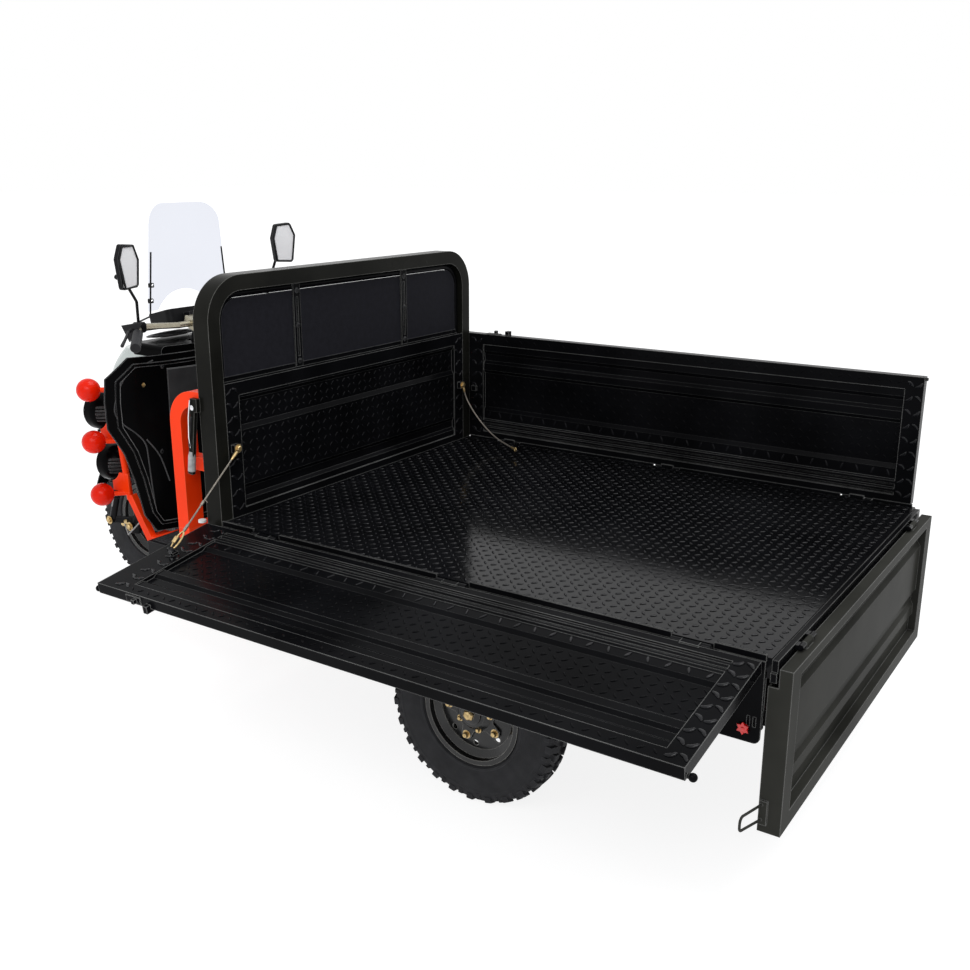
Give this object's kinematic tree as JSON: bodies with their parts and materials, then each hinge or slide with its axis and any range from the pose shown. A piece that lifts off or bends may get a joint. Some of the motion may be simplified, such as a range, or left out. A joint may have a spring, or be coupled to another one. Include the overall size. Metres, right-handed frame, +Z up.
{
  "type": "cargo tricycle",
  "caption": "Three-wheeled cargo carrier with a scooter-type front, a saddle and a rear loading bed with folding side boards and a drop tailgate.",
  "frame": {"origin": "bottom centre of the whole vehicle's box, on the ground", "axes": "+X forward, +Y to the rider's left, +Z up"},
  "size_m": [3.0874, 1.8334, 1.51],
  "materials": {
    "black_paint": "gloss",
    "black_gloss_plastic": "gloss",
    "red_paint": "gloss",
    "red_rubber": "gloss",
    "grey_board": "matte",
    "black_vinyl": "satin",
    "silver_plastic": "gloss",
    "grey_metal": "satin",
    "box_paint": "satin",
    "red_lens": "gloss",
    "lamp_glass": "gloss",
    "steel_cable": "satin",
    "bright_bar": "polished",
    "grip_rubber": "matte",
    "clear_screen": "gloss",
    "mirror_face": "polished",
    "tyre_rubber": "matte",
    "black_rim": "gloss"
  },
  "bodies": {
    "chassis": {"backrest_board": "grey_board", "backrest_frame": "black_paint", "backrest_pad": "black_vinyl", "battery": "grey_metal", "bulkhead": "black_paint", "bumper_balls": "red_rubber", "chassis_frame": "black_paint", "crash_bars": "red_paint", "drive_motor": "grey_metal", "footboard": "box_paint", "front_cowl": "silver_plastic", "front_frame": "red_paint", "headlight": "lamp_glass", "hoop": "black_paint", "leaf_springs": "black_paint", "left_cable": "steel_cable", "leg_shield": "black_gloss_plastic", "load_floor": "black_paint", "mudguards": "black_paint", "rear_axle": "black_paint", "right_cable": "steel_cable", "right_cable_eye": "steel_cable", "seat_box": "box_paint", "seat_cushion": "black_vinyl", "seat_frame": "red_paint", "side_plates": "black_paint", "spot_lamps": "black_gloss_plastic", "tail_lamps": "red_lens"},
    "front_wheel": {"front_tyre": "tyre_rubber", "front_rim": "black_rim"},
    "rear_left_wheel": {"rear_left_tyre": "tyre_rubber", "rear_left_rim": "black_rim"},
    "rear_right_wheel": {"rear_right_tyre": "tyre_rubber", "rear_right_rim": "black_rim"},
    "left_board": {"left_board": "black_paint"},
    "right_board": {"right_board": "black_paint"},
    "tailgate": {"tailgate": "black_paint"},
    "steering": {"fork": "black_paint", "front_fender": "black_paint", "handlebar": "bright_bar", "grips": "grip_rubber", "instrument_pod": "black_paint", "windshield": "clear_screen", "mirrors": "black_paint", "mirror_glass": "mirror_face"}
  },
  "joints": [
    {"name": "steering_turn", "type": "hinge", "parent": "chassis", "child": "steering", "pos_m": [1.04977, -0.15068, 0.735], "axis": [-0.342, 0, 0.9397], "range_deg": [-38, 38]},
    {"name": "front_wheel_spin", "type": "hinge", "parent": "steering", "child": "front_wheel", "pos_m": [1.25828, -0.15068, 0.272], "axis": [0, 1, 0], "continuous": true},
    {"name": "rear_left_wheel_spin", "type": "hinge", "parent": "chassis", "child": "rear_left_wheel", "pos_m": [-0.70372, 0.43932, 0.258], "axis": [0, 1, 0], "continuous": true},
    {"name": "rear_right_wheel_spin", "type": "hinge", "parent": "chassis", "child": "rear_right_wheel", "pos_m": [-0.70372, -0.74068, 0.258], "axis": [0, 1, 0], "continuous": true},
    {"name": "left_board_hinge", "type": "hinge", "parent": "chassis", "child": "left_board", "pos_m": [-0.66372, 0.50232, 0.624], "axis": [1, 0, 0], "range_deg": [0, 98.5], "deforming": ["left_cable"]},
    {"name": "right_board_hinge", "type": "hinge", "parent": "chassis", "child": "right_board", "pos_m": [-0.66372, -0.80368, 0.624], "axis": [1, 0, 0], "range_deg": [0, 98.5]},
    {"name": "tailgate_hinge", "type": "hinge", "parent": "chassis", "child": "tailgate", "pos_m": [-1.52122, -0.15068, 0.62], "axis": [0, 1, 0], "range_deg": [0, 180]}
  ]
}
